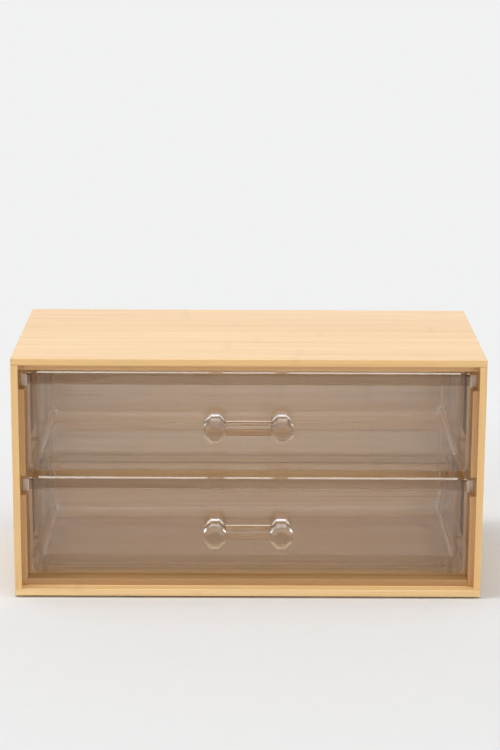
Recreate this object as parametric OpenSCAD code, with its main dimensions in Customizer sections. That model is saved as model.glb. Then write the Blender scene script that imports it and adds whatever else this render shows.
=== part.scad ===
// Tabletop organizer: a bamboo case with two clear drawers that hang in grooves in its sides.
// Millimetres, +Z up, front towards -Y, origin at the bottom centre of the whole part.

/* [Case] */
// Width over the side boards
case_w = 330; // [240:5:420]
// Depth from the front edge to the back panel's outer face
case_d = 165; // [120:5:240]
// Thickness of the top and bottom boards
board_t = 10; // [9:0.5:14]
// Thickness of the side boards
side_t = 8.5; // [7.5:0.5:12]
// Thickness of the thin lip left along the boards' front and rear edges
lip_t = 5; // [3:0.5:5.5]
// Depth of the step cut round the front opening
front_step = 8; // [4:0.5:12]
// Thickness of the back panel
back_t = 10; // [5:0.5:12]
// Gap all round the back panel in its recess
back_gap = 0.25; // [0.1:0.05:0.5]

/* [Drawer grooves] */
// Depth of the grooves cut in the side boards
groove_d = 3.5; // [2.5:0.5:5]
// Room left above a drawer's flange in its groove, and above the upper drawer
groove_room = 4.8; // [1.6:0.2:7]
// Gap between a flange's edge and the groove's floor
flange_gap = 0.5; // [0.4:0.1:1.5]

/* [Drawer trays] */
// Height of a tray
tray_h = 70.2; // [50:0.2:110]
// How far a tray's front plate stands back from the case's front edge
tray_recess = 18; // [12:0.5:24]
// Thickness of the tray's front plate
plate_t = 3.5; // [2.5:0.25:5]
// Gap between the front plate's edges and the side boards
plate_gap = 0.6; // [0.4:0.1:1.2]
// Radius of the front plate's lower corners
plate_r = 3; // [1.5:0.5:10]
// Thickness of the tray's side and rear walls
wall_t = 4; // [2.5:0.25:5]
// Thickness of the tray's floor
floor_t = 3; // [2:0.25:4.5]
// Radius of the tray's upright inside corners
inner_r = 3; // [1.5:0.5:6]
// Radius of the hollow where the tray's floor turns up into its walls
floor_r = 12; // [3:0.5:16]
// Radius of the tray's outside corners and bottom edges
outer_r = 4; // [2:0.5:8]
// Gap between a tray's wall and the side board
wall_gap = 3; // [1.5:0.1:5]
// Height of the rim band that leans back along the top of the front plate
rim_h = 8; // [5:0.5:12]
// How far the rim band leans back at its top edge
rim_back = 1.05; // [0.5:0.05:2.2]
// How much further back the rim band's inner face leans than its outer face
rim_flare = 0.7; // [0:0.05:2]
// How much thicker the rim band is than the plate below it
rim_extra = 0.8; // [0.3:0.1:2]
// Height of the flanges' ears and hanging edges
flange_h = 9.2; // [6:0.2:14]
// Thickness of the flanges' shelf and hanging edge
flange_t = 2.5; // [1.5:0.25:3.5]
// Gap between the lower tray and the bottom board
under_gap = 0.8; // [0.5:0.1:3]
// Gap between the two trays
between_gap = 6.6; // [3:0.2:9]
// Gap between a tray and the back panel
rear_gap = 0.3; // [0.2:0.1:1]

/* [Handles] */
// Size of a knob across its flats
knob_af = 15.8; // [12:0.2:20]
// Distance between the two knobs' centres
knob_pitch = 47; // [36:0.2:80]
// How far a handle stands out from the tray's front plate
handle_reach = 23; // [19:0.5:30]
// Width of the sloped edge round a knob's front face
knob_bevel = 2.7; // [1.5:0.1:4]
// Depth of the sloped edge round a knob's front face
knob_taper = 3.3; // [2:0.1:9]
// Height of the knobs' centres above the tray's bottom
handle_z = 33; // [20:0.5:36]
// Thickness of the web between the knobs along its front edge
web_t = 2.2; // [1.5:0.1:4]
// Height of the web where it meets the tray's front plate
web_root = 11; // [5:0.5:13]
// How far the web stands out from the tray's front plate
web_reach = 13; // [6:0.5:16]

/* [Feet and pins] */
// Diameter of a foot pad
foot_d = 12; // [8:1:20]
// Thickness of a foot pad
foot_t = 1.5; // [1:0.5:4]
// Distance from the case's edges to a foot's centre
foot_inset = 16; // [12:1:30]
// Diameter of a back panel pin
pin_d = 1.4; // [1:0.1:1.6]
// Diameter of a pin's head
pin_head_d = 2.2; // [1.8:0.1:2.4]
// Thickness of a pin's head
pin_head_t = 0.8; // [0.5:0.1:1.2]
// How far a pin goes into the boards behind the panel
pin_bite = 10; // [5:0.5:16]
// Gap round a pin in its hole
pin_gap = 0.1; // [0.05:0.05:0.15]

/* [Hidden] */
$fn = 48;
// Overlap that keeps cuts and joins clean
eps = 0.5;

// Heights, from the feet up
case_bottom = foot_t;
lower_tray_z = case_bottom + board_t + under_gap;
upper_tray_z = lower_tray_z + tray_h + between_gap;
ceiling_z = upper_tray_z + tray_h + groove_room;
case_top = ceiling_z + board_t;
side_bottom = case_bottom + lip_t;
side_top = case_top - lip_t;
flange_drop = tray_h - flange_h;
rim_drop = tray_h - rim_h;
rim_t = plate_t + rim_extra;
rim_top = rim_t + rim_back + rim_flare;
rim_root = (plate_t + rim_back) / 2;
groove_h = flange_h + groove_room;

// Depths, with the part's box centred on the origin
handle_proud = max(0, handle_reach - tray_recess);
case_front = (handle_proud - case_d) / 2;
case_back = case_front + case_d;
core_front = case_front + front_step;
core_back = case_back - back_t;
tray_front = case_front + tray_recess;
tray_d = core_back - rear_gap - tray_front;

// Half widths, from the outside in
case_half = case_w / 2;
lip_half = case_half - lip_t;
core_half = case_half - side_t;
groove_half = core_half + groove_d;
flange_half = groove_half - flange_gap;
plate_half = core_half - plate_gap;
body_half = core_half - wall_gap;
inner_half = body_half - wall_t;

// Back panel pins: one row along each board, in the middle of the ledge behind the panel
pin_len = back_t + pin_bite;
pin_in_board = (lip_t + back_gap + board_t) / 2;
pin_in_side = (lip_t + back_gap + side_t) / 2;
pin_row_x = case_half - pin_in_side;
pin_xs = [-case_w / 3, 0, case_w / 3];
pin_rows_z = [case_bottom + pin_in_board, case_top - pin_in_board];
pin_mid_z = upper_tray_z + flange_drop / 2;
pin_places = concat(
    [for (x = pin_xs, z = pin_rows_z) [x, z]],
    [for (x = [-pin_row_x, pin_row_x]) [x, pin_mid_z]]
);

// Box between two opposite corners
module box(low, high) {
    translate(low) cube(high - low);
}

// Rectangle with round corners, centred in x, from y 0 to d
module round_rect(half_w, d, r) {
    translate([-half_w + r, 0]) square([2 * (half_w - r), d]);
    translate([-half_w, r]) square([2 * half_w, d - 2 * r]);
    for (x = [-half_w + r, half_w - r], y = [r, d - r])
        translate([x, y]) circle(r);
}

// Block with round upright corners and round bottom edges, flat on top
module tub(half_w, d, h, corner_r, bottom_r) {
    intersection() {
        linear_extrude(h) round_rect(half_w, d, corner_r);
        translate([0, d + eps, 0]) rotate([90, 0, 0]) linear_extrude(d + 2 * eps)
            round_rect(half_w, h + 2 * bottom_r, bottom_r);
        rotate([90, 0, 90]) linear_extrude(2 * half_w + 2 * eps, center = true)
            translate([d / 2, 0]) round_rect(d / 2, h + 2 * bottom_r, bottom_r);
    }
}

// One pin per place, pointing into the case, grown by a gap for its hole
module pins(gap) {
    for (p = pin_places)
        translate([p[0], case_back, p[1]]) rotate([90, 0, 0]) {
            cylinder(d = pin_head_d + 2 * gap, h = pin_head_t);
            cylinder(d = pin_d + 2 * gap, h = pin_len + gap);
        }
}

// Board with a full outer layer and an inner layer that locates the sides and back
module plate() {
    box([-case_half, case_front, 0], [case_half, case_back, lip_t]);
    box([-core_half, core_front, 0], [core_half, core_back, board_t]);
}

// Right side board, with a groove for each drawer's flange
module side() {
    difference() {
        union() {
            box([core_half, core_front, side_bottom], [case_half, core_back, side_top]);
            box([lip_half, case_front, side_bottom], [case_half, case_back, side_top]);
        }
        for (z = [lower_tray_z, upper_tray_z])
            box([core_half - eps, core_front - eps, z + flange_drop],
                [groove_half, core_back + eps, z + flange_drop + groove_h]);
    }
}

// Tray's front plate: round lower corners, and a rim band that leans back
module front_plate() {
    intersection() {
        rotate([90, 0, 90]) linear_extrude(2 * plate_half, center = true)
            polygon([
                [0, 0],
                [plate_t, 0],
                [plate_t, rim_drop],
                [rim_t, rim_drop],
                [rim_top, tray_h],
                [rim_back, tray_h],
                [0, rim_drop]
            ]);
        translate([0, rim_top + eps, 0]) rotate([90, 0, 0])
            linear_extrude(rim_top + 2 * eps)
                round_rect(plate_half, tray_h + 2 * plate_r, plate_r);
    }
}

// Inner half of the rim band, which leans into the tray between its walls
module rim_inside() {
    rotate([90, 0, 90]) linear_extrude(2 * inner_half + wall_t, center = true)
        polygon([
            [rim_root, rim_drop],
            [rim_t, rim_drop],
            [rim_top, tray_h],
            [rim_root, tray_h]
        ]);
}

// Ear, shelf and hanging edge of the right flange
module flange() {
    flange_end = tray_d - outer_r;
    box([plate_half - eps, 0, flange_drop], [flange_half, plate_t, tray_h]);
    box([body_half - wall_t / 2, rim_root, tray_h - flange_t], [flange_half, flange_end, tray_h]);
    box([flange_half - flange_t, rim_root, flange_drop], [flange_half, flange_end, tray_h]);
}

// Drawer tray: outer face of the front plate at y 0, bottom at z 0
module tray() {
    difference() {
        union() {
            intersection() {
                translate([0, -outer_r, 0]) tub(body_half, tray_d + outer_r, tray_h, outer_r, outer_r);
                box([-case_half, plate_t / 2, 0], [case_half, tray_d, tray_h]);
            }
            front_plate();
            flange();
            mirror([1, 0, 0]) flange();
        }
        translate([0, plate_t, floor_t])
            tub(inner_half, tray_d - plate_t - wall_t, tray_h, inner_r, floor_r);
    }
    rim_inside();
}

// Eight-sided knob with a sloped front edge, from its seat at y 0 towards -y
module knob() {
    intersection_for (a = [0, 45, 90, 135])
        rotate([0, a, 0])
            linear_extrude(2 * knob_af, center = true)
                polygon([
                    [-knob_af / 2, 0],
                    [knob_af / 2, 0],
                    [knob_af / 2, knob_taper - handle_reach],
                    [knob_af / 2 - knob_bevel, -handle_reach],
                    [knob_bevel - knob_af / 2, -handle_reach],
                    [-knob_af / 2, knob_taper - handle_reach]
                ]);
}

// Handle: two knobs joined by a web that thins towards its front edge, placed like its tray
module handle() {
    web_top = handle_z + knob_af / 2 * tan(22.5);
    for (x = [-knob_pitch / 2, knob_pitch / 2])
        translate([x, 0, handle_z]) knob();
    rotate([90, 0, 90]) linear_extrude(knob_pitch, center = true)
        polygon([
            [0, web_top],
            [-web_reach, web_top],
            [-web_reach, web_top - web_t],
            [0, web_top - web_root]
        ]);
}

// Foot pad at a corner of the bottom board
module foot(x_side, y_edge, y_way) {
    color("dimgray")
        translate([x_side * (case_half - foot_inset), y_edge + y_way * foot_inset, 0])
            cylinder(d = foot_d, h = foot_t);
}

module top_board() {
    color("burlywood") difference() {
        translate([0, 0, case_top]) mirror([0, 0, 1]) plate();
        pins(pin_gap);
    }
}

module bottom_board() {
    color("burlywood") difference() {
        translate([0, 0, case_bottom]) plate();
        pins(pin_gap);
    }
}

module left_side() {
    color("tan") difference() {
        mirror([1, 0, 0]) side();
        pins(pin_gap);
    }
}

module right_side() {
    color("tan") difference() {
        side();
        pins(pin_gap);
    }
}

module back_panel() {
    color("peru") difference() {
        box([back_gap - lip_half, core_back, side_bottom + back_gap],
            [lip_half - back_gap, case_back, side_top - back_gap]);
        pins(pin_gap);
    }
}

module back_pins() { color("silver") pins(0); }

module foot_front_left() { foot(-1, case_front, 1); }
module foot_front_right() { foot(1, case_front, 1); }
module foot_rear_left() { foot(-1, case_back, -1); }
module foot_rear_right() { foot(1, case_back, -1); }

module upper_tray() { color("lightcyan") translate([0, tray_front, upper_tray_z]) tray(); }
module upper_handle() { color("lightblue") translate([0, tray_front, upper_tray_z]) handle(); }
module lower_tray() { color("lightcyan") translate([0, tray_front, lower_tray_z]) tray(); }
module lower_handle() { color("lightblue") translate([0, tray_front, lower_tray_z]) handle(); }

top_board();
bottom_board();
left_side();
right_side();
back_panel();
back_pins();
foot_front_left();
foot_front_right();
foot_rear_left();
foot_rear_right();
upper_tray();
upper_handle();
lower_tray();
lower_handle();
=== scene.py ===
"""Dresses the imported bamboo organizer: eased boards, clear drawers, studio floor and light.

Everything is in metres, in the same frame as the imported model.
"""

import math

import bmesh
import bpy
from mathutils import Matrix, Vector


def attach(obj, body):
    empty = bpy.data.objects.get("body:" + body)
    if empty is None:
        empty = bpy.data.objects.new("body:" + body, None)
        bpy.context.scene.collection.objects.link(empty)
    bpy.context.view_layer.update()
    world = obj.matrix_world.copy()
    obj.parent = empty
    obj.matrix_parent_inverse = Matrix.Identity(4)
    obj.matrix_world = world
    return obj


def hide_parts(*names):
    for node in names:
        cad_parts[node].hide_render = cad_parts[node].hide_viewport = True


MM = 0.001

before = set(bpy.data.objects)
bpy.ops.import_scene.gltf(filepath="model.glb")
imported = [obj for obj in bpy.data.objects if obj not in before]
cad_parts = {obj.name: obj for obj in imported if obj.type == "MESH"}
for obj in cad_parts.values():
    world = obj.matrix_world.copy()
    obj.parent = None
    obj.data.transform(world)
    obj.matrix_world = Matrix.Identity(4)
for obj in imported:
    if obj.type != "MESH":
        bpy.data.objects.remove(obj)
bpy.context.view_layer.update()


# Shader maths

class Wire:
    """A node's output socket. Arithmetic on wires adds Math nodes to their material."""

    def __init__(self, tree, socket=None):
        self.tree = tree
        self.socket = socket

    def node(self, kind, settings=None, sockets=None, out=0):
        """Adds a node: its settings come first, then its sockets' values or links."""
        made = self.tree.nodes.new(kind)
        for name, value in (settings or {}).items():
            setattr(made, name, value)
        for name, value in (sockets or {}).items():
            if isinstance(value, Wire):
                self.tree.links.new(value.socket, made.inputs[name])
            else:
                made.inputs[name].default_value = value
        return Wire(self.tree, made.outputs[out]) if made.outputs else made

    def math(self, operation, *values):
        return self.node("ShaderNodeMath", {"operation": operation}, dict(enumerate(values)))

    def __add__(self, other):
        return self.math("ADD", self, other)

    def __radd__(self, other):
        return self.math("ADD", other, self)

    def __sub__(self, other):
        return self.math("SUBTRACT", self, other)

    def __rsub__(self, other):
        return self.math("SUBTRACT", other, self)

    def __mul__(self, other):
        return self.math("MULTIPLY", self, other)

    def __rmul__(self, other):
        return self.math("MULTIPLY", other, self)

    def __truediv__(self, other):
        return self.math("DIVIDE", self, other)

    def __rtruediv__(self, other):
        return self.math("DIVIDE", other, self)

    def floor(self):
        return self.math("FLOOR", self)

    def fraction(self):
        return self.math("FRACT", self)

    def size(self):
        return self.math("ABSOLUTE", self)

    def larger(self, other):
        return self.math("MAXIMUM", self, other)

    def ramp(self, low, high):
        """0 below low and 1 above high, smooth in between; falls where low is above high."""
        return self.node(
            "ShaderNodeMapRange",
            {"interpolation_type": "SMOOTHSTEP"},
            {"Value": self, "From Min": low, "From Max": high},
        )

    def vector(self, x, y, z):
        return self.node("ShaderNodeCombineXYZ", None, {"X": x, "Y": y, "Z": z})

    def parts(self):
        """The three parts of a vector."""
        split = self.tree.nodes.new("ShaderNodeSeparateXYZ")
        self.tree.links.new(self.socket, split.inputs[0])
        return [Wire(self.tree, output) for output in split.outputs]

    def place(self):
        """The place of a point on its piece, as a vector."""
        return self.node("ShaderNodeTexCoord", None, None, "Object")

    def rays(self, *names):
        """For each kind of ray that is named, 1 where such a ray arrives."""
        path = self.tree.nodes.new("ShaderNodeLightPath")
        return [Wire(self.tree, path.outputs[name]) for name in names]

    def noise(self, place, detail):
        return self.node(
            "ShaderNodeTexNoise",
            {"noise_dimensions": "3D"},
            {"Vector": place, "Scale": 1.0, "Detail": detail, "Roughness": 0.5},
        )

    def dice(self, place):
        """A random number for each whole-number place."""
        return self.node("ShaderNodeTexWhiteNoise", {"noise_dimensions": "3D"}, {"Vector": place})

    def mix(self, share, first, second, way="MIX"):
        """Two colours mixed by a share."""
        settings = {"data_type": "RGBA", "blend_type": way}
        return self.node("ShaderNodeMix", settings, {0: share, 6: first, 7: second}, 2)

    def blend(self, share, first, second):
        """Two shaders mixed by a share."""
        return self.node("ShaderNodeMixShader", None, {0: share, 1: first, 2: second})


def new_material(name):
    """An empty node material, and a wire to start from."""
    material = bpy.data.materials.new(name)
    material.use_nodes = True
    material.node_tree.nodes.clear()
    return material, Wire(material.node_tree)


def close_material(wire, shader):
    """Links a shader to the material's output."""
    wire.node("ShaderNodeOutputMaterial", None, {"Surface": shader})


def tone(red, green, blue):
    """A colour written as 0-255 sRGB, as the linear colour that nodes take."""
    def linear(value):
        value /= 255
        if value <= 0.04045:
            return value / 12.92
        return ((value + 0.055) / 1.055) ** 2.4
    return (linear(red), linear(green), linear(blue), 1.0)


# Bamboo

STRIP_W = 19 * MM
LAYER_T = 5 * MM
LAYER_SHIFT = 0.37
SEAM_FROM = 0.488
TINT_ROLL = 3.0
MARK_ROLL = 8.0

WIDE_STREAK = (3.0, 160.0)
FINE_STREAK = (8.0, 620.0)
HAIR_STREAK = (20.0, 2000.0)
STREAK_SHIFT = 3.0

MARK_PERIOD = 340 * MM
MARK_WANDER = 8 * MM
MARK_HALF = 5 * MM

TINT_SHARE = 0.30
WIDE_SHARE = 0.45
FINE_SHARE = 0.25
DASH_DEPTH = 0.42
WIDE_DEPTH = 0.24
MARK_DEPTH = 0.10
SEAM_DEPTH = 0.06

BAMBOO_ROUGH = 0.38
BAMBOO_IOR = 1.45
LACQUER = 0.8
LACQUER_ROUGH = 0.16

FRONT_STEP_Y = (-58 * MM, -62 * MM)
# Painted shade that darkens the recessed step faces behind the front lips
RECESS_SHADE_TONE = (0.52, 0.42, 0.32, 1.0)

ALONG_X = (0, 1, 2)
ALONG_X_UPRIGHT = (0, 2, 1)
ALONG_Z = (2, 1, 0)

PALEST = tone(246, 212, 154)
PALE = tone(238, 198, 136)
MID = tone(226, 175, 104)
DARK = tone(176, 114, 48)

# Where and how strongly each board's recessed step faces get painted shade
TOP_RECESS_SHADE = (2, 169.2 * MM, 168.8 * MM, 0.55)
BOTTOM_RECESS_SHADE = (2, 6.6 * MM, 7.0 * MM, 1.0)
SIDE_RECESS_SHADE = (0, 160.2 * MM, 159.8 * MM, 0.7)


def bamboo(name, order, pale, mid, dark, recess_shade=None):
    """Laminated bamboo, with painted shade that darkens the inner ply's faces in the recessed step behind
    the front.

    Order gives the axes along the grain, across it and through the board. Recess shade gives the axis
    through the plies, the place where the painted shade starts, the place where it is full, and its
    strength.
    """
    material, wire = new_material(name)
    axes = wire.place().parts()
    along, across, through = (axes[i] for i in order)

    # Strips side by side, in layers, each with its own tint
    layer = (through / LAYER_T).floor()
    row = across / STRIP_W + layer * LAYER_SHIFT
    strip = row.floor()
    tint_luck = wire.dice(wire.vector(strip, layer, TINT_ROLL))
    mark_luck = wire.dice(wire.vector(strip, layer, MARK_ROLL))
    seam = (row.fraction() - 0.5).size().ramp(SEAM_FROM, 0.5)

    # Fibres run along the grain, in wide, fine and very fine streaks
    start = along + tint_luck * STREAK_SHIFT

    def streaks(scale, detail):
        lengthwise, sideways = scale
        return wire.noise(wire.vector(start * lengthwise, across * sideways, through * sideways), detail)

    wide = streaks(WIDE_STREAK, 3.0)
    fine = streaks(FINE_STREAK, 3.0)
    hair = streaks(HAIR_STREAK, 1.0)
    dashes = hair.ramp(0.58, 0.74) * fine.ramp(0.42, 0.62)

    # Faint joint marks cross each strip at its own places
    spot = (along + mark_luck * MARK_PERIOD) / MARK_PERIOD
    off = (spot.fraction() - 0.5) * MARK_PERIOD
    wobble = (wide - 0.5) * MARK_WANDER
    mark = (off + wobble).size().ramp(MARK_HALF, 0.0)

    share = tint_luck * TINT_SHARE + wide.ramp(0.28, 0.72) * WIDE_SHARE + fine.ramp(0.3, 0.7) * FINE_SHARE
    colour = wire.mix(share, pale, mid)
    colour = wire.mix(dashes * DASH_DEPTH + wide.ramp(0.54, 0.76) * WIDE_DEPTH, colour, dark)
    colour = wire.mix(mark * MARK_DEPTH, colour, dark)
    colour = wire.mix(seam * SEAM_DEPTH, colour, dark)
    # Painted shade: the inner ply's faces in the recess behind the front lips are darkened
    if recess_shade is not None:
        axis, shade_start, shade_full, strength = recess_shade
        shaded_share = axes[axis].size().ramp(shade_start, shade_full) * axes[1].ramp(*FRONT_STEP_Y)
        colour = wire.mix(shaded_share * strength, colour, RECESS_SHADE_TONE, "MULTIPLY")

    rough = BAMBOO_ROUGH + fine * 0.10 + dashes * 0.08
    relief = fine * 0.5 + hair * 0.25 - dashes * 0.5 - seam * 0.3 + mark * 0.3
    bump = wire.node("ShaderNodeBump", None, {"Strength": 0.10, "Distance": 0.2 * MM, "Height": relief})
    shader = wire.node(
        "ShaderNodeBsdfPrincipled", None,
        {
            "Base Color": colour, "Roughness": rough, "Normal": bump, "IOR": BAMBOO_IOR,
            "Coat Weight": LACQUER, "Coat Roughness": LACQUER_ROUGH,
        },
    )
    close_material(wire, shader)
    return material


# Clear plastic

PLASTIC_IOR = 1.57
PLASTIC_GLOSS = ((PLASTIC_IOR - 1) / (PLASTIC_IOR + 1)) ** 2
PLASTIC_ROUGH = 0.006
SMEAR_ROUGH = 0.02
SMEAR_GRAIN = (30.0, 30.0, 45.0)
PLASTIC_TINT = (0.975, 0.975, 0.98, 1.0)
PLASTIC_PASS = (0.955, 0.95, 0.94, 1.0)
# Painted shade: the rim band is tinted darker and browner than the rest of the plastic
RIM_SHADE_TINT = (0.62, 0.52, 0.40, 1.0)
# Painted shade that deepens a knob's flat front
DISC_SHADE = (0.80, 0.70, 0.58, 1.0)
# White of the painted highlights on tray walls and knob bevels
PAINTED_LIGHT_WHITE = (0.92, 0.82, 0.70, 1.0)

TRAY_LOW = 12.3 * MM
TRAY_PITCH = 76.8 * MM
EDGE_X = 147.5 * MM
EDGE_REAR_Y = 68.7 * MM
EDGE_HEIGHT = 8.4 * MM
CORNER_X = 148.6 * MM
CORNER_Y = 69.8 * MM

# Painted highlights on the trays: pale lines along bottom edges and rear corners, pale side walls and ears
HIGHLIGHT_CORE = 0.2 * MM
SIDE_EDGE_WIDE = 3.4 * MM
REAR_EDGE_WIDE = 2.4 * MM
CORNER_WIDE = 2.6 * MM
SIDE_EDGE_Y = (-58 * MM, -30 * MM)
CORNER_HEIGHT = (8 * MM, 14 * MM)
WALL_X = (148.6 * MM, 149.3 * MM)
WALL_HEIGHT = (8 * MM, 16 * MM)
EAR_X = (153.6 * MM, 154.2 * MM)
EAR_HEIGHT = (60.4 * MM, 61.2 * MM)
SIDE_EDGE_HIGHLIGHT = 0.5
REAR_EDGE_HIGHLIGHT = 0.10
CORNER_HIGHLIGHT = 0.35
WALL_HIGHLIGHT = 0.05
EAR_HIGHLIGHT = 0.4

# Where the knobs get painted shade on their fronts and a painted highlight on their bevels
KNOB_X = 23.5 * MM
KNOB_Z = 33 * MM
DISC_EDGE = (5.35 * MM, 5.2 * MM)
DISC_Y = (-84.6 * MM, -84.8 * MM)
BEVEL_EDGE = (5.2 * MM, 5.5 * MM)
BEVEL_Y = (-81.6 * MM, -81.9 * MM)
BEVEL_HEIGHT = (1.5 * MM, -2.5 * MM)
BEVEL_HIGHLIGHT = 0.3


def above_tray(z):
    """Height above the bottom of the tray that a place belongs to."""
    return ((z - TRAY_LOW) / TRAY_PITCH).fraction() * TRAY_PITCH


def tray_painted_highlights(wire, x, y, z):
    """Painted highlights where a tray's turned-up bottom edges, side walls, rear corners and ears catch
    light.
    """
    def line(first, second, wide):
        return wire.math("SQRT", first * first + second * second).ramp(wide, HIGHLIGHT_CORE)
    half = x.size()
    height = above_tray(z)
    side_edge = line(half - EDGE_X, height - EDGE_HEIGHT, SIDE_EDGE_WIDE) * y.ramp(*SIDE_EDGE_Y)
    rear_edge = line(y - EDGE_REAR_Y, height - EDGE_HEIGHT, REAR_EDGE_WIDE)
    side_wall = half.ramp(*WALL_X) * height.ramp(*WALL_HEIGHT)
    corner = line(half - CORNER_X, y - CORNER_Y, CORNER_WIDE) * height.ramp(*CORNER_HEIGHT)
    ear = half.ramp(*EAR_X) * height.ramp(*EAR_HEIGHT)
    lines = (side_edge * SIDE_EDGE_HIGHLIGHT).larger(corner * CORNER_HIGHLIGHT)
    areas = (side_wall * WALL_HIGHLIGHT).larger(ear * EAR_HIGHLIGHT)
    return lines + areas + rear_edge * REAR_EDGE_HIGHLIGHT


def knob_painted_light(wire, x, y, z):
    """Painted shade on a knob's flat front, and a painted highlight on the lower part of its bevel."""
    aside = (x.size() - KNOB_X).size()
    above = above_tray(z) - KNOB_Z
    diagonal = (aside + above.size()) * math.sqrt(0.5)
    out = aside.larger(above.size()).larger(diagonal)
    disc = out.ramp(*DISC_EDGE) * y.ramp(*DISC_Y)
    bevel = out.ramp(*BEVEL_EDGE) * y.ramp(*BEVEL_Y)
    return disc, bevel * above.ramp(*BEVEL_HEIGHT)


def clear_plastic(name, tint, kind="thick"):
    """Clear moulded plastic with faint handling haze. Light on its way to the wood passes straight.

    A thin wall does not bend what is seen through it. It still guides light that runs along inside it. Thin
    walls and knobs also carry painted highlights and painted shade.
    """
    material, wire = new_material(name)
    x, y, z = wire.place().parts()
    smear = wire.noise(wire.vector(x * SMEAR_GRAIN[0], y * SMEAR_GRAIN[1], z * SMEAR_GRAIN[2]), 3.0)
    rough = PLASTIC_ROUGH + smear.ramp(0.45, 0.85) * SMEAR_ROUGH
    colour = tint
    if kind == "handle":
        # Painted shade on the knob's flat front
        disc, bevel = knob_painted_light(wire, x, y, z)
        colour = wire.mix(disc, tint, DISC_SHADE)
    shader = wire.node(
        "ShaderNodeBsdfPrincipled", None,
        {
            "Base Color": colour, "Roughness": rough,
            "IOR": PLASTIC_IOR, "Transmission Weight": 1.0,
        },
    )
    # Pale diffuse used for painted highlights
    pale = wire.node("ShaderNodeBsdfDiffuse", None, {"Color": PAINTED_LIGHT_WHITE})
    straight = wire.node("ShaderNodeBsdfTransparent", None, {"Color": PLASTIC_PASS})
    to_lamp, from_matt, guided = wire.rays("Is Shadow Ray", "Is Diffuse Ray", "Is Reflection Ray")
    if kind == "handle":
        # Painted highlight: a pale diffuse on the lower part of the bevel
        shader = wire.blend(bevel * BEVEL_HIGHLIGHT, shader, pale)
    if kind == "thin":
        facing = wire.node("ShaderNodeLayerWeight", None, {"Blend": 0.5}, "Facing")
        share = PLASTIC_GLOSS + wire.math("POWER", facing, 5.0) * (1 - PLASTIC_GLOSS)
        through = wire.node("ShaderNodeBsdfTransparent", None, {"Color": tint})
        gloss = wire.node("ShaderNodeBsdfGlossy", None, {"Roughness": rough})
        wall = wire.blend(share, through, gloss)
        # Painted highlights mixed into the thin walls
        wall = wire.blend(tray_painted_highlights(wire, x, y, z), wall, pale)
        shader = wire.blend(guided, wall, shader)
    shader = wire.blend(from_matt, shader, straight)
    shader = wire.blend(to_lamp, shader, straight)
    close_material(wire, shader)
    return material


def clear_cement(name):
    """Where a handle is cemented on, so that light goes straight from one piece into the other."""
    material, wire = new_material(name)
    close_material(wire, wire.node("ShaderNodeBsdfTransparent"))
    return material


# Rubber and steel

RUBBER_GRAIN = 1800.0
STEEL_GRAIN = 3000.0
STEEL_DRAWN = 400.0


def rubber(name):
    """Matt dark rubber with a fine moulded grain."""
    material, wire = new_material(name)
    x, y, z = wire.place().parts()
    grain = wire.noise(wire.vector(x * RUBBER_GRAIN, y * RUBBER_GRAIN, z * RUBBER_GRAIN), 2.0)
    colour = wire.mix(grain, tone(40, 39, 38), tone(62, 60, 58))
    bump = wire.node("ShaderNodeBump", None, {"Strength": 0.3, "Distance": 0.1 * MM, "Height": grain})
    shader = wire.node(
        "ShaderNodeBsdfPrincipled", None,
        {"Base Color": colour, "Roughness": 0.7 + grain * 0.2, "Normal": bump},
    )
    close_material(wire, shader)
    return material


def steel(name):
    """Plain drawn steel."""
    material, wire = new_material(name)
    x, y, z = wire.place().parts()
    grain = wire.noise(wire.vector(x * STEEL_GRAIN, y * STEEL_DRAWN, z * STEEL_GRAIN), 2.0)
    colour = wire.mix(grain, tone(176, 174, 170), tone(205, 203, 200))
    shader = wire.node(
        "ShaderNodeBsdfPrincipled", None,
        {"Base Color": colour, "Roughness": 0.28 + grain * 0.2, "Metallic": 1.0},
    )
    close_material(wire, shader)
    return material


top_bamboo = bamboo("bamboo_top", ALONG_X, PALE, MID, DARK, TOP_RECESS_SHADE)
bottom_bamboo = bamboo("bamboo_bottom", ALONG_X, PALEST, PALE, DARK, BOTTOM_RECESS_SHADE)
side_bamboo = bamboo("bamboo_sides", ALONG_Z, PALE, MID, DARK, SIDE_RECESS_SHADE)
back_bamboo = bamboo("bamboo_back", ALONG_X_UPRIGHT, PALEST, PALE, DARK)
plastic = clear_plastic("clear_plastic", PLASTIC_TINT)
thin_plastic = clear_plastic("clear_plastic_thin", PLASTIC_TINT, "thin")
# The rim band's plastic, tinted darker as painted shade
rim_shaded_plastic = clear_plastic("clear_plastic_rim_shaded", RIM_SHADE_TINT)
handle_plastic = clear_plastic("clear_plastic_handle", PLASTIC_TINT, "handle")
cement = clear_cement("clear_cement")
foot_rubber = rubber("foot_rubber")
pin_steel = steel("pin_steel")


# Pieces

SAME_PLACE = 0.01 * MM
BOARD_EASE = 0.4 * MM
BOARD_LEAST = 2.5 * MM
BACK_LEAST = 4 * MM
BOARD_CREASE = 50
PLASTIC_EASE = 0.25 * MM
TRAY_LEAST = 0.3 * MM
TRAY_CREASE = 36
HANDLE_LEAST = 0.6 * MM
HANDLE_TURN = 25
HANDLE_CREASE = 22

PLATE_HALF = 155.5 * MM
PLATE_DEPTH = 5 * MM
RIM_HEIGHT = 8.4 * MM
RIM_DEPTH = 8 * MM
FLAT = 0.99
NEARLY_FLAT = 0.9

PLATE_MARK, CEMENT_MARK, THIN_MARK, RIM_MARK = range(4)
TRAY_MATERIALS = [plastic, cement, thin_plastic, rim_shaded_plastic]
HANDLE_MATERIALS = [handle_plastic, cement]


def lies_at(vertices, y):
    """True where every vertex is in the plane at y."""
    return all(abs(vertex.co.y - y) < SAME_PLACE for vertex in vertices)


def largest_face(mesh, y):
    """The largest face in the plane at y."""
    flat = [face for face in mesh.faces if lies_at(face.verts, y)]
    return max(flat, key=lambda face: face.calc_area())


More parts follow.
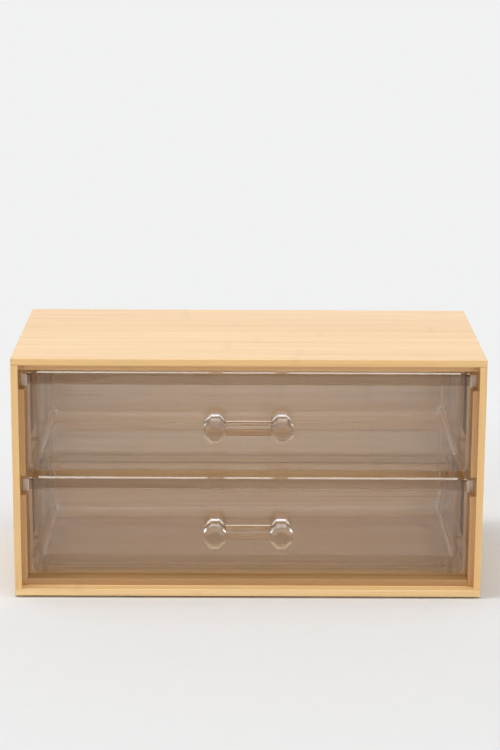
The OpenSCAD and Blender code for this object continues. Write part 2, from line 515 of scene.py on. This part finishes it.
def eased_mesh(node, width, least, turn=38, seat_y=None):
    """A CAD node's mesh with its edges that turn sharply eased, all but those in its seat."""
    mesh = bmesh.new()
    mesh.from_mesh(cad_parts[node].data)
    bmesh.ops.remove_doubles(mesh, verts=mesh.verts, dist=SAME_PLACE)
    bmesh.ops.dissolve_limit(
        mesh, angle_limit=math.radians(0.5), verts=mesh.verts, edges=mesh.edges,
        use_dissolve_boundaries=False, delimit=set(),
    )
    sharp = [
        edge for edge in mesh.edges
        if edge.calc_face_angle() > math.radians(turn)
        and edge.calc_length() > least
        and not (seat_y is not None and lies_at(edge.verts, seat_y))
    ]
    bmesh.ops.bevel(
        mesh, geom=sharp, offset=width, offset_type="OFFSET", affect="EDGES",
        segments=3, profile=0.5, material=-1, clamp_overlap=False,
    )
    return mesh


def cement_handle(tray, handle, seat_y):
    """Marks where a handle is cemented to its tray's front plate, on both meshes."""
    seat = largest_face(handle, seat_y)
    seat.material_index = CEMENT_MARK
    plate = largest_face(tray, seat_y)
    border = list(plate.edges)
    tray.faces.remove(plate)
    corners = [tray.verts.new(vertex.co) for vertex in seat.verts]
    border += [tray.edges.new((corners[i - 1], corners[i])) for i in range(len(corners))]
    bmesh.ops.triangle_fill(tray, edges=border, use_beauty=True, normal=(0, -1, 0))
    patch = tray.faces.new(corners)
    patch.material_index = CEMENT_MARK
    bmesh.ops.recalc_face_normals(tray, faces=tray.faces)


def part_tray(tray, front_y, top_z):
    """Marks a tray's thin walls, floor and ears, and its rim band, apart from its front plate. The rim
    band's material carries painted shade.
    """
    for side in (-1, 1):
        bmesh.ops.bisect_plane(
            tray, geom=tray.verts[:] + tray.edges[:] + tray.faces[:], dist=0.001 * MM,
            plane_co=(side * PLATE_HALF, 0, 0), plane_no=(1, 0, 0),
        )
    for face in tray.faces:
        nearest = min(vertex.co.y for vertex in face.verts)
        lowest = min(vertex.co.z for vertex in face.verts)
        upright = abs(face.normal.y)
        in_ear = abs(face.calc_center_median().x) > PLATE_HALF
        in_plate = upright > FLAT and nearest < front_y + PLATE_DEPTH and not in_ear
        in_rim = lowest > top_z - RIM_HEIGHT and nearest < front_y + RIM_DEPTH and not in_ear
        if in_rim and upright > NEARLY_FLAT:
            face.material_index = RIM_MARK
        elif face.material_index == PLATE_MARK and not in_plate and not in_rim:
            face.material_index = THIN_MARK


def add_piece(mesh, node, crease, materials, body):
    """Turns a mesh into the piece that stands in for a CAD node."""
    for face in mesh.faces:
        face.smooth = True
    for edge in mesh.edges:
        edge.smooth = edge.calc_face_angle() < math.radians(crease)
    data = bpy.data.meshes.new(node + "_dressed")
    mesh.to_mesh(data)
    mesh.free()
    piece = bpy.data.objects.new(node + "_dressed", data)
    bpy.context.scene.collection.objects.link(piece)
    for material in materials:
        piece.data.materials.append(material)
    smoothing = piece.modifiers.new("even_shading", "WEIGHTED_NORMAL")
    smoothing.keep_sharp = True
    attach(piece, body)
    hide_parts(node)


BOARDS = {
    "top_board": top_bamboo,
    "bottom_board": bottom_bamboo,
    "left_side": side_bamboo,
    "right_side": side_bamboo,
}
for node, material in BOARDS.items():
    board_mesh = eased_mesh(node, BOARD_EASE, BOARD_LEAST)
    add_piece(board_mesh, node, BOARD_CREASE, [material], "case")
back_mesh = eased_mesh("back_panel", BOARD_EASE, BACK_LEAST)
add_piece(back_mesh, "back_panel", BOARD_CREASE, [back_bamboo], "case")

for level in ("upper", "lower"):
    tray_node = f"{level}_tray"
    handle_node = f"{level}_handle"
    drawer = f"{level}_drawer"
    seat_y = max(vertex.co.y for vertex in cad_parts[handle_node].data.vertices)
    tray_mesh = eased_mesh(tray_node, PLASTIC_EASE, TRAY_LEAST)
    handle_mesh = eased_mesh(handle_node, PLASTIC_EASE, HANDLE_LEAST, HANDLE_TURN, seat_y)
    cement_handle(tray_mesh, handle_mesh, seat_y)
    part_tray(tray_mesh, seat_y, max(vertex.co.z for vertex in tray_mesh.verts))
    add_piece(tray_mesh, tray_node, TRAY_CREASE, TRAY_MATERIALS, drawer)
    add_piece(handle_mesh, handle_node, HANDLE_CREASE, HANDLE_MATERIALS, drawer)

SHOWN_AS_BUILT = {
    "foot_front_left": foot_rubber,
    "foot_front_right": foot_rubber,
    "foot_rear_left": foot_rubber,
    "foot_rear_right": foot_rubber,
    "back_pins": pin_steel,
}
for node, material in SHOWN_AS_BUILT.items():
    node_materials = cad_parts[node].data.materials
    node_materials.clear()
    node_materials.append(material)


# Camera

CAMERA_AT = Vector((-7.53, -1521.31, 515.14)) * MM
CAMERA_DOWN = math.radians(13.726)
CAMERA_YAW = math.radians(0.328)
CAMERA_ROLL = math.radians(0.306)
CAMERA_LENS = 102.97
CAMERA_SENSOR = 36
CAMERA_FAR = 60


def make_camera():
    """The photograph's viewpoint: a long lens in front of the case, looking down a little."""
    data = bpy.data.cameras.new("camera")
    data.sensor_width = CAMERA_SENSOR
    data.lens = CAMERA_LENS
    data.clip_end = CAMERA_FAR
    camera = bpy.data.objects.new("camera", data)
    bpy.context.scene.collection.objects.link(camera)
    ahead = Vector((
        math.sin(CAMERA_YAW) * math.cos(CAMERA_DOWN),
        math.cos(CAMERA_YAW) * math.cos(CAMERA_DOWN),
        -math.sin(CAMERA_DOWN),
    ))
    level = Vector((math.cos(CAMERA_YAW), -math.sin(CAMERA_YAW), 0))
    above = level.cross(ahead)
    right = math.cos(CAMERA_ROLL) * level + math.sin(CAMERA_ROLL) * above
    up = math.cos(CAMERA_ROLL) * above - math.sin(CAMERA_ROLL) * level
    turn = Matrix((right, up, -ahead)).transposed()
    camera.matrix_world = Matrix.Translation(CAMERA_AT) @ turn.to_4x4()
    bpy.context.scene.camera = camera


make_camera()


# Floor, backdrop and light

SCREEN_WHITE = (0.875, 0.88, 0.88, 1.0)
FLOOR_WHITE = 0.72
BOUNCE_WHITE = 0.96
NEAR_SPOT = (0.12, -0.2, 0.0)
SCREEN_GRAIN = 60.0
FLOOR_SIZE = 14
FLOOR_TURN = (0.32, 0.68)
BACKDROP_SIZE = 6
BACKDROP_TURN = (0.0, 0.1)
BACKDROP_AT = (0, 5, 5.5)

ROOM_LIGHT = 0.38
MIRRORED_ROOM = 0.25
MIRRORED_CEILING = 1.8
CEILING_RISE = (0.08, 0.35)
LEFT_RISE = (-0.3, -0.65)
BACKGROUND = 0.875

LAMPS_AIM = Vector((0, 0, 0.1))

# Each lamp's place, size and power
LAMPS = {
    "key": ((-1.35, -0.33, 3.75), (0.55, 0.55), 34.0),
    "softbox": ((-0.1, -0.3, 3.4), (2.8, 1.3), 62.0),
    "front": ((0.1, -2.6, 1.5), (1.4, 0.6), 14.0),
}


def screen_material(name, near, far):
    """Matt white that turns an even white from near to far, for eyes, reflections and clear pieces only."""
    material, wire = new_material(name)
    place = wire.place()
    x, y, z = place.parts()
    away = wire.node("ShaderNodeVectorMath", {"operation": "DISTANCE"}, {0: place, 1: NEAR_SPOT}, 1)
    eye, mirror, through = wire.rays("Is Camera Ray", "Is Glossy Ray", "Is Transmission Ray")
    watched = eye.larger(mirror.larger(through))
    grain = wire.noise(wire.vector(x * SCREEN_GRAIN, y * SCREEN_GRAIN, z * SCREEN_GRAIN), 3.0)
    white = BOUNCE_WHITE - eye * (BOUNCE_WHITE - FLOOR_WHITE) + grain * 0.02
    matt = wire.node("ShaderNodeBsdfDiffuse", None, {"Color": wire.vector(white, white, white)})
    glow = wire.node("ShaderNodeEmission", None, {"Color": SCREEN_WHITE, "Strength": 1.0})
    close_material(wire, wire.blend(away.ramp(near, far) * watched, matt, glow))
    return material


def make_screen(name, size, at, tilt, material):
    """A flat square of the studio."""
    mesh = bmesh.new()
    bmesh.ops.create_grid(
        mesh, x_segments=1, y_segments=1, size=size,
        matrix=Matrix.Translation(at) @ Matrix.Rotation(tilt, 4, "X"),
    )
    data = bpy.data.meshes.new(name)
    mesh.to_mesh(data)
    mesh.free()
    screen = bpy.data.objects.new(name, data)
    screen.data.materials.append(material)
    bpy.context.scene.collection.objects.link(screen)


def area_lamp(name, at, size, power):
    """A soft rectangular lamp that faces the case and does not show in reflections."""
    data = bpy.data.lights.new(name, "AREA")
    data.shape = "RECTANGLE"
    data.size, data.size_y = size
    data.energy = power
    lamp = bpy.data.objects.new(name, data)
    bpy.context.scene.collection.objects.link(lamp)
    lamp.location = at
    lamp.rotation_mode = "QUATERNION"
    lamp.rotation_quaternion = (LAMPS_AIM - Vector(at)).to_track_quat("-Z", "Y")
    lamp.visible_glossy = False
    lamp.visible_transmission = False


def make_world(room, mirrored, overhead, background):
    """An even room, dim in reflections but above and on the left, white behind for the eye."""
    world = bpy.data.worlds.new("studio")
    world.use_nodes = True
    wire = Wire(world.node_tree)
    x, y, z = wire.node("ShaderNodeTexCoord", None, None, "Generated").parts()
    eye, mirror, through = wire.rays("Is Camera Ray", "Is Glossy Ray", "Is Transmission Ray")
    reflected = mirror.larger(through)
    ceiling = z.ramp(*CEILING_RISE).larger(x.ramp(*LEFT_RISE))
    strength = room + eye * (background - room)
    strength += reflected * (mirrored - room + ceiling * (overhead - mirrored))
    background_node = world.node_tree.nodes["Background"]
    background_node.inputs["Color"].default_value = (1, 1, 1, 1)
    world.node_tree.links.new(strength.socket, background_node.inputs["Strength"])
    bpy.context.scene.world = world


floor_white = screen_material("floor", *FLOOR_TURN)
make_screen("floor", FLOOR_SIZE, (0, 0, 0), 0, floor_white)
backdrop_white = screen_material("backdrop", *BACKDROP_TURN)
make_screen("backdrop", BACKDROP_SIZE, BACKDROP_AT, math.pi / 2, backdrop_white)
make_world(ROOM_LIGHT, MIRRORED_ROOM, MIRRORED_CEILING, BACKGROUND)
for name, (at, size, power) in LAMPS.items():
    area_lamp(name, at, size, power)

light_paths = bpy.context.scene.cycles
light_paths.max_bounces = 24
light_paths.glossy_bounces = 16
light_paths.transmission_bounces = 16
light_paths.transparent_max_bounces = 24

bpy.context.scene.view_settings.view_transform = "Standard"
